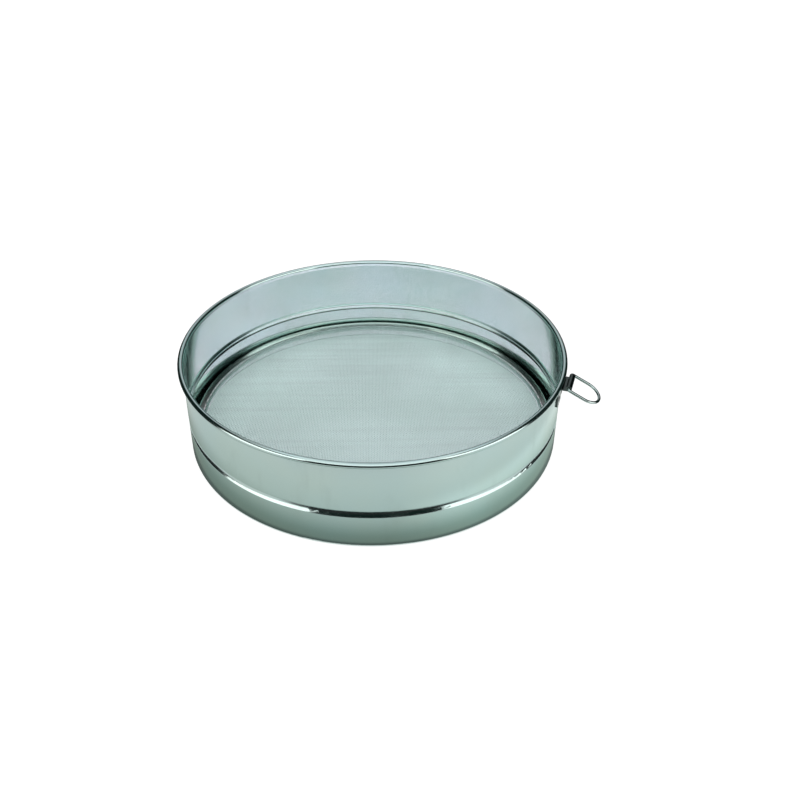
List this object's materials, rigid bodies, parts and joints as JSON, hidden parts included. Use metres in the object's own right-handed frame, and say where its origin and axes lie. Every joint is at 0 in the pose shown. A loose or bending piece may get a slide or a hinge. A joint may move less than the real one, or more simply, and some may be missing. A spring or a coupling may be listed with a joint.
{
  "type": "soil sieve",
  "caption": "Round polished steel soil sieve with rolled rim, pressed bead, fine woven wire screen on a lift-out hoop and a swinging hanging link.",
  "frame": {"origin": "centre of the circle the sieve stands on, on the drum axis", "axes": "+Z along the drum axis, up through the open mouth; +X towards the hanging link"},
  "size_m": [0.3274, 0.3, 0.075],
  "materials": {
    "drum_steel": "polished stainless steel sheet",
    "screen_steel": "woven stainless wire, bright",
    "hoop_steel": "polished stainless strip",
    "hanger_steel": "polished stainless sheet and wire",
    "core_wire": "drawn steel wire"
  },
  "bodies": {
    "drum": {"drum_shell": "drum_steel", "rim_wire": "core_wire", "hanger_strap": "hanger_steel", "hanger_rivets": "hanger_steel"},
    "screen": {"screen_cloth": "screen_steel", "screen_hoop": "hoop_steel", "hoop_wire": "core_wire"},
    "link": {"hanger_link": "hanger_steel"}
  },
  "joints": [
    {"name": "screen_lift", "type": "slide", "parent": "drum", "child": "screen", "axis": [0, 0, 1], "range_m": [0, 0.085]},
    {"name": "link_swing", "type": "hinge", "parent": "drum", "child": "link", "pos_m": [0.1542, 0, 0.0714], "axis": [0, -1, 0], "range_deg": [-75, 160]}
  ]
}
